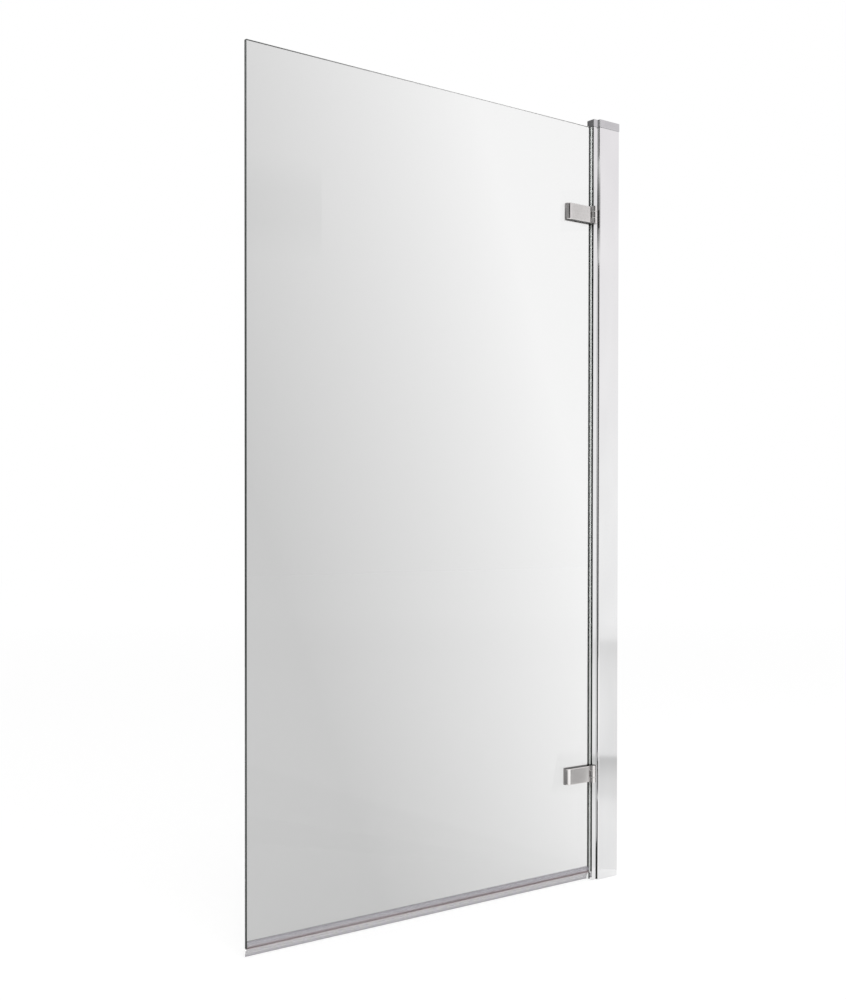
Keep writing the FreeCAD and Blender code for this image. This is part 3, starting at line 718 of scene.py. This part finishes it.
def drip_section():
    """The section in one loop, from the wet lip over the glass to the dry one and back."""
    outside = GLASS_HALF + CLIP_WALL
    lip = [
        (GLASS_HALF, 0), (GLASS_HALF, CLIP_TOP - LIP),
        (GLASS_HALF + LIP * 0.6, CLIP_TOP - LIP * 0.1), (GLASS_HALF + LIP, CLIP_TOP),
        (outside, CLIP_TOP - LIP * 0.3), (outside + LIP / 2, CLIP_TOP - LIP),
        (outside, CLIP_TOP - 3 * LIP),
    ]
    wet = lip + [(outside, CLIP_BASE + CLIP_CHAMFER), (outside - CLIP_CHAMFER, CLIP_BASE)]
    root, tip = (-outside, FIN_ROOT), (FIN_SWEEP - FIN_TIP_WALL, FIN_TIP)
    middle = tuple((r + t) / 2 + bow for r, t, bow in zip(root, tip, FIN_BOW))
    inner_middle = (middle[0] + FIN_WALL * 0.8, middle[1] + FIN_WALL * 0.5)
    inner_root = (-outside + FIN_WALL * 1.6, CLIP_BASE)
    back, rise = FIN_TIP_ROUND
    fin = arc(inner_root, inner_middle, (FIN_SWEEP, FIN_TIP + rise), FIN_STEPS)
    fin += [(FIN_SWEEP - back, FIN_TIP)] + arc(tip, middle, root, FIN_STEPS)
    return section("drip", wet + fin + [(-y, z) for y, z in reversed(lip)])


drip_vinyl, nodes, links, shader = new_material("drip_vinyl")
shader.inputs["IOR"].default_value = 1.45
vinyl_lines = object_pattern(nodes, links, (0.012, 1, 1), scale=600, detail=2)
up_seal = spread(
    nodes, links, object_axes(nodes, links)["Z"], 0.0, 1.0, SEAL_FOOT, SEAL_HEAD)
streaked = arithmetic(
    nodes, links, "ADD", up_seal,
    spread(nodes, links, vinyl_lines, -VINYL_STREAK, VINYL_STREAK), clamp=True,
)
surfaced(nodes, links, shader, streaked, VINYL_TINTS, vinyl_lines, smooth=0.20, rough=0.34)
body = [(place, (opacity,) * 3) for place, opacity in VINYL_BODY]
links.new(tinted(nodes, links, up_seal, *body), shader.inputs["Alpha"])

drip = made(
    "drip_fin", extrusion, drip_section(),
    Length=PANE_RIGHT - PANE_LEFT - 2 * SEAL_SHORT, Cuts=SEAL_CUTS, Waver=FIN_WAVER,
    **{"Held above": FIN_HELD_ABOVE}, Place=(PANE_LEFT + SEAL_SHORT, 0.0, GLASS_FOOT),
    Turn=(math.pi / 2, 0.0, math.pi / 2), Material=drip_vinyl,
)
skinned(drip)
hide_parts("drip_seal")
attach(drip, "glass_leaf")


# ---- Studio ----
# A pale floor that keeps the object's shadow, a white surround and two soft lamps. Dark flags
# and floor cards that only reflections see draw the edges of the polished metal.

MIRRORED = 44.8                     # bearing that faces turned to the front mirror
SURROUND = 0.95                     # shade of the surround, to which a card's edges fade
BOW_STEP = 8                        # degrees
CREASE_LIGHT = 0.06                 # what is left of the surround between two metal faces
RING_HEIGHT = 0.004                 # of the rings that lie over the cards on the floor


def panel(name, corners, faces):
    """A stage sheet."""
    mesh = bpy.data.meshes.new(name)
    mesh.from_pydata([Vector(c) for c in corners], [], faces)
    sheet = bpy.data.objects.new(name, mesh)
    bpy.context.scene.collection.objects.link(sheet)
    return sheet


def reach(nodes, links):
    """The distance from the origin."""
    place = nodes.new("ShaderNodeTexCoord")
    length = nodes.new("ShaderNodeVectorMath")
    length.operation = "LENGTH"
    links.new(place.outputs["Object"], length.inputs[0])
    return length.outputs["Value"]


def for_reflections(sheet, shades):
    """Only reflections see this sheet. Its grey follows (distance from origin, shade) pairs."""
    for kind in ("camera", "diffuse", "transmission", "volume_scatter", "shadow"):
        setattr(sheet, f"visible_{kind}", False)
    material, nodes, links, shader = new_material(sheet.name)
    nodes.remove(shader)
    start, end = shades[0][0], shades[-1][0]
    share = spread(nodes, links, reach(nodes, links), 0.0, 1.0, start, end)
    stops = [((far - start) / (end - start), (grey,) * 3) for far, grey in shades]
    glow = nodes.new("ShaderNodeEmission")
    links.new(tinted(nodes, links, share, *stops), glow.inputs["Color"])
    links.new(glow.outputs[0], nodes["Material Output"].inputs["Surface"])
    sheet.data.materials.append(material)


def bearing(angle, distance, height):
    """The point at this distance, height and angle, in degrees from the front."""
    turn = math.radians(angle)
    return distance * math.sin(turn), -distance * math.cos(turn), height


def bowed(name, left, right, near, far):
    """A sheet bowed from bearing to bearing. Near and far are its edges' (distance, height)."""
    steps = 1 + int(abs(right - left) / BOW_STEP)
    turns = [left + (right - left) * step / steps for step in range(steps + 1)]
    corners = [bearing(turn, *near) for turn in turns]
    corners += [bearing(turn, *far) for turn in reversed(turns)]
    last = len(corners) - 1
    faces = [(i, i + 1, last - 1 - i, last - i) for i in range(steps)]
    return panel(name, corners, faces)


def faded(shade, low, high, fade, away=0.0):
    """Shades of a sheet: even, or fading to the surround at its edges. Away is its distance."""
    if not fade:
        return (0.0, shade), (10.0, shade)
    edges = (low, SURROUND), (low + fade, shade), (high - fade, shade), (high, SURROUND)
    return [(math.hypot(away, place), grey) for place, grey in edges]


def floor_card(name, left, right, shades):
    """A card along the floor, between two lines beside the mirrored bearing."""
    side = Vector(bearing(MIRRORED + 90, 1.0, 0.0))
    near, far = (Vector(bearing(MIRRORED, shades[i][0], 0.0)) for i in (0, -1))
    corners = [near + side * left, near + side * right, far + side * right, far + side * left]
    for_reflections(panel(name, corners, [(0, 1, 2, 3)]), shades)


# Upright flags and cards, which the ends of the pane and caps, the post, the step beside it
# and the upper hinge mirror.
for name, left, right, away, foot, head, shade, fade in (
    ("left_front_flag", -84, -58, 4.0, 0.0, 3.2, 0.02, 0),
    ("left_back_flag", -162, -100, 4.5, 0.0, 2.6, 0.03, 0),
    ("cap_end_card", -162, -100, 4.5, 2.6, 3.2, 0.20, 0),
    ("cap_step_card", -56, -34, 3.8, 2.3, 3.2, 0.90, 0),
    ("post_card", -34, -20, 4.2, 0.0, 3.2, 0.90, 0),
    ("hinge_flag_left", -100, -40, 3.0, 1.74, 2.17, 0.26, 0.15),
    ("hinge_flag_right", -40, -7, 3.0, 1.74, 2.17, 0.03, 0.15),
    ("hinge_flag_front", 8, 22, 3.0, 1.74, 2.17, 0.38, 0.15),
    ("upper_plate_card", 41.2, 43.55, 2.94, 1.88, 2.05, 0.67, 0),
):
    sheet = bowed(name, left, right, (away, foot), (away, head))
    for_reflections(sheet, faded(shade, foot, head, fade, away))

# Parts of rings on the floor. The first carries the post's card on to the foot of the post,
# and the lower hinge mirrors the others.
for name, left, right, near, far, shade, fade, height in (
    ("post_floor_card", -34, -20, 0.25, 4.2, 0.90, 0, 0.0),
    ("barrel_card_left", -94, -45, 0.74, 1.38, 0.20, 0.13, RING_HEIGHT),
    ("lower_nose_card", -45, -32, 0.74, 1.38, 0.60, 0.13, RING_HEIGHT),
    ("barrel_card_right", 58, 84, 0.74, 1.38, 0.13, 0.13, RING_HEIGHT),
):
    sheet = bowed(name, left, right, (near, height), (far, height))
    for_reflections(sheet, faded(shade, near, far, fade))

# Cards on the floor for the channel's face, and beside it for the lower clamp plate.
floor_card("channel_card", -0.073, 0.80, (
    (0.05, 0.93), (0.45, 0.955), (0.64, 0.93), (0.76, 0.84), (0.93, 0.80), (1.06, 0.72),
    (1.19, 0.64), (1.25, 0.62), (1.29, 0.90), (2.0, 0.92), (2.6, 0.91), (3.6, 0.86),
    (4.4, 0.80), (4.85, 0.79), (5.0, 0.95), (6.0, 0.97),
))
floor_card("lower_plate_card", -0.145, -0.073, (
    (0.74, SURROUND), (0.87, 0.45), (1.20, 0.43), (1.34, SURROUND),
))


def backdrop(nodes, links, output, plain, bright, hidden):
    """Bright for the camera, through glass and off metal, plain for light, dim in creases.

    What metal mirrors behind the glass, or the glass inside itself, has the hidden strength.
    """
    path = nodes.new("ShaderNodeLightPath")
    mirrored, clear = path.outputs["Is Glossy Ray"], path.outputs["Is Transmission Ray"]
    seen = arithmetic(
        nodes, links, "MAXIMUM", path.outputs["Is Camera Ray"],
        arithmetic(nodes, links, "MAXIMUM", clear, mirrored),
    )
    open_view = nodes.new("ShaderNodeMixShader")
    links.new(seen, open_view.inputs["Fac"])
    links.new(plain, open_view.inputs[1])
    links.new(bright, open_view.inputs[2])

    depth = path.outputs["Glossy Depth"]
    behind_glass = arithmetic(nodes, links, "MULTIPLY", depth, clear, clamp=True)
    in_crease = arithmetic(nodes, links, "GREATER_THAN", depth, 1.5)
    strength = nodes.new("ShaderNodeMix")
    links.new(behind_glass, strength.inputs[0])
    strength.inputs[2].default_value = CREASE_LIGHT
    links.new(hidden, strength.inputs[3])
    kind = "Background" if output.bl_idname.endswith("World") else "Emission"
    dim = nodes.new(f"ShaderNode{kind}")
    links.new(strength.outputs[0], dim.inputs["Strength"])
    whole = nodes.new("ShaderNodeMixShader")
    links.new(
        arithmetic(nodes, links, "MAXIMUM", in_crease, behind_glass), whole.inputs["Fac"])
    links.new(open_view.outputs[0], whole.inputs[1])
    links.new(dim.outputs[0], whole.inputs[2])
    links.new(whole.outputs[0], output.inputs["Surface"])


FLOOR_HALF = 12.0
FLOOR_LEVEL = -0.0005
FLOOR_GLOW = (0.765, 0.822)         # near the object and far from it, on top of the lamps
FLOOR_REACH = (0.6, 7.0)
FLOOR_HIDDEN = (0.75, 0.06)         # hidden strength this side of a line behind, and past it
FLOOR_HIDDEN_LINE = (3.50, 3.65)    # Y
FLOOR_HIDDEN_LEFT = 0.56            # loss on the left

square = [(-1, -1), (1, -1), (1, 1), (-1, 1)]
floor = panel(
    "floor", [(x * FLOOR_HALF, y * FLOOR_HALF, FLOOR_LEVEL) for x, y in square],
    [(0, 1, 2, 3)],
)
floor_white, nodes, links, shader = new_material("floor_white")
nodes.remove(shader)
matt = nodes.new("ShaderNodeBsdfDiffuse")
matt.inputs["Color"].default_value = (0.8, 0.8, 0.8, 1)
thin = nodes.new("ShaderNodeBsdfDiffuse")
thin.inputs["Color"].default_value = (0.32, 0.32, 0.32, 1)
glow = nodes.new("ShaderNodeEmission")
links.new(
    spread(nodes, links, reach(nodes, links), *FLOOR_GLOW, *FLOOR_REACH),
    glow.inputs["Strength"],
)
bright = nodes.new("ShaderNodeAddShader")
links.new(thin.outputs[0], bright.inputs[0])
links.new(glow.outputs[0], bright.inputs[1])
axes = object_axes(nodes, links)
on_left = arithmetic(nodes, links, "LESS_THAN", axes["X"], 0.0)
left_loss = arithmetic(nodes, links, "MULTIPLY", on_left, FLOOR_HIDDEN_LEFT)
hidden = arithmetic(
    nodes, links, "MULTIPLY",
    arithmetic(nodes, links, "SUBTRACT", 1.0, left_loss),
    spread(nodes, links, axes["Y"], *FLOOR_HIDDEN, *FLOOR_HIDDEN_LINE),
)
backdrop(nodes, links, nodes["Material Output"], matt.outputs[0], bright.outputs[0], hidden)
floor.data.materials.append(floor_white)

SKY_LIGHT = 0.55
SKY_HIDDEN = 0.23                   # hidden strength at the back
SKY_HIDDEN_FRONT = 0.5              # gain in front
SKY_HIDDEN_LEFT = (-0.15, 0.30)     # gain on the left, below and above a line
SKY_HIDDEN_LINE = (0.2266, 0.2350)  # rise of that line
SKY_TINTS = (0, (1, 1, 1)), (1, (0.93, 0.905, 0.925))   # what metal mirrors, going up
SKY_TINT_RISE = 0.30

world = bpy.data.worlds.new("surround")
bpy.context.scene.world = world
world.use_nodes = True
nodes, links = world.node_tree.nodes, world.node_tree.links
plain = nodes["Background"]
plain.inputs["Color"].default_value = (1, 1, 1, 1)
plain.inputs["Strength"].default_value = SKY_LIGHT
white = nodes.new("ShaderNodeBackground")
white.inputs["Strength"].default_value = 1.0
sky = nodes.new("ShaderNodeTexCoord")
axes = nodes.new("ShaderNodeSeparateXYZ")
links.new(sky.outputs["Generated"], axes.inputs["Vector"])
aside, ahead, rise = (axes.outputs[axis] for axis in "XYZ")
left_gain = arithmetic(
    nodes, links, "MULTIPLY", arithmetic(nodes, links, "LESS_THAN", aside, 0.0),
    spread(nodes, links, rise, *SKY_HIDDEN_LEFT, *SKY_HIDDEN_LINE),
)
front_gain = arithmetic(
    nodes, links, "MULTIPLY", arithmetic(nodes, links, "LESS_THAN", ahead, 0.0),
    SKY_HIDDEN_FRONT,
)
hidden = arithmetic(
    nodes, links, "ADD", arithmetic(nodes, links, "ADD", left_gain, SKY_HIDDEN), front_gain,
    clamp=True,
)
backdrop(
    nodes, links, nodes["World Output"], plain.outputs["Background"],
    white.outputs["Background"], hidden,
)
path = nodes.new("ShaderNodeLightPath")
off_metal = arithmetic(
    nodes, links, "SUBTRACT", path.outputs["Is Glossy Ray"],
    path.outputs["Is Transmission Ray"], clamp=True,
)
going_up = spread(nodes, links, rise, 0.0, 1.0, 0.0, SKY_TINT_RISE)
mirrored = tinted(nodes, links, going_up, *SKY_TINTS)
links.new(blended(nodes, links, off_metal, (1, 1, 1), mirrored), white.inputs["Color"])

LAMPS_AIM = Vector((-0.35, 0, 0.7))
for name, place, size, power in (
    ("key_lamp", (-1.6, -2.6, 3.0), 2.4, 60),
    ("fill_lamp", (2.2, -2.4, 2.2), 2.0, 30),
):
    light = bpy.data.lights.new(name, "AREA")
    light.size = size
    light.energy = power
    lamp = bpy.data.objects.new(name, light)
    bpy.context.scene.collection.objects.link(lamp)
    lamp.location = place
    aim = LAMPS_AIM - lamp.location
    lamp.rotation_euler = aim.to_track_quat("-Z", "Y").to_euler()
    lamp.visible_camera = False
    lamp.visible_glossy = False
    lamp.visible_transmission = False


# ---- Camera ----
# At the photograph's viewpoint: to the left of the screen and in front of it, a little under
# half its height, with a slight shift.

EYE = (-1.78963, -1.75472, 0.67746)
YAW = math.radians(37.2221)
PITCH = math.radians(0.6831)
ROLL = math.radians(0.0614)
FOCAL = 1.29682                     # in picture heights
SHIFT = 0.03603
SENSOR = 36.0

camera = bpy.data.objects.new("camera", bpy.data.cameras.new("camera"))
bpy.context.scene.collection.objects.link(camera)
camera.location = EYE
level = math.cos(PITCH)
looking = Vector((math.sin(YAW) * level, math.cos(YAW) * level, -math.sin(PITCH)))
camera.rotation_euler = looking.to_track_quat("-Z", "Y").to_euler()
camera.rotation_euler.rotate_axis("Z", ROLL)
camera.data.sensor_width = SENSOR
camera.data.lens = SENSOR * FOCAL
camera.data.shift_y = SHIFT
camera.data.clip_end = 100
bpy.context.scene.camera = camera
bpy.context.scene.view_settings.view_transform = "Standard"
